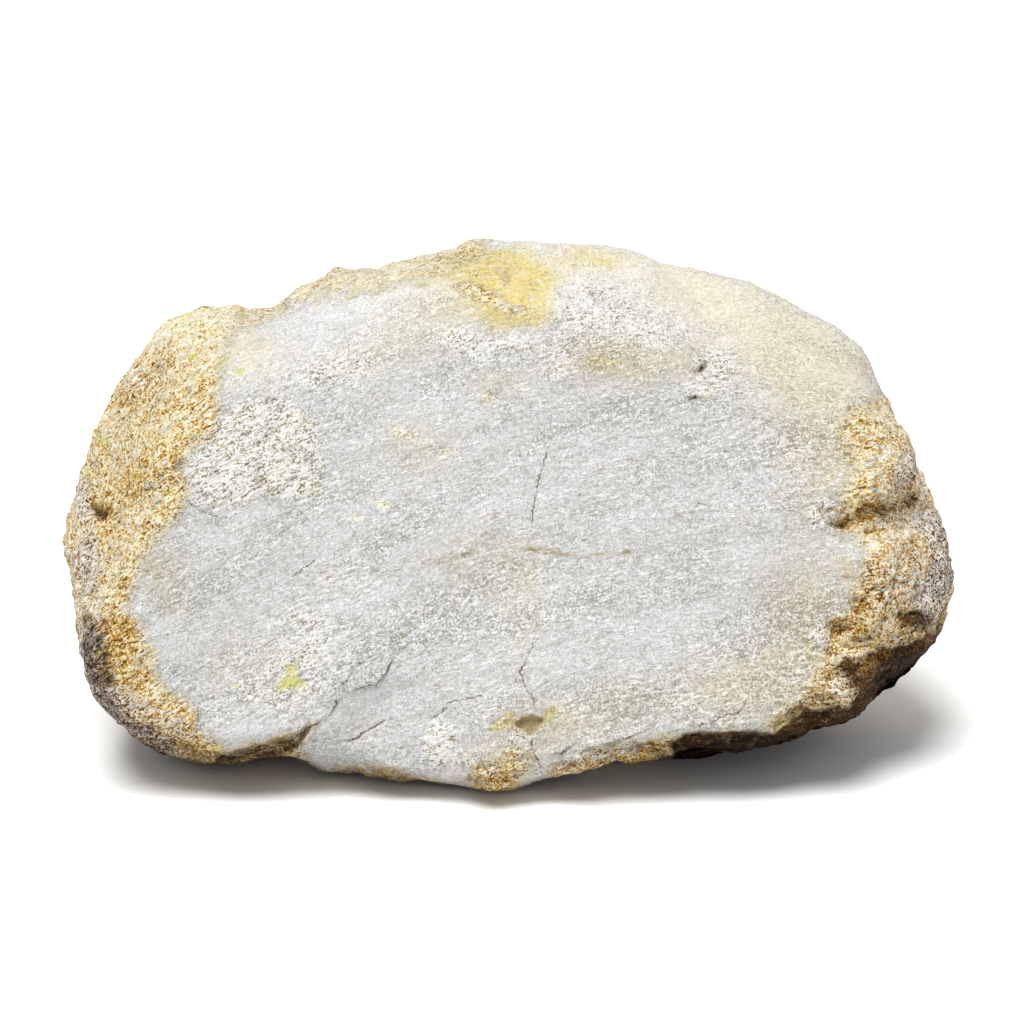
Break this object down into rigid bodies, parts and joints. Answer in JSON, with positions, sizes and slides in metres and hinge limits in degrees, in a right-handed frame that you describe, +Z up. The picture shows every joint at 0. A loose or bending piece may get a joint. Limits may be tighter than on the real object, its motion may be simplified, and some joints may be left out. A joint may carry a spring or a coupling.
{
  "type": "rough milky quartz stone",
  "caption": "Solid lump of milky quartz with a broad, slightly leaning broken face, weathered ochre flanks and a small flat spot it rests on.",
  "frame": {"origin": "on the resting plane, below the middle of the stone's bounding box", "axes": "+X along the length, to the right when the broad face is looked at; +Y towards the back, away from the broad face; +Z up"},
  "size_m": [0.2492, 0.1312, 0.1412],
  "materials": {
    "stone": "matte"
  },
  "bodies": {
    "root": {"stone": "stone"}
  },
  "joints": []
}
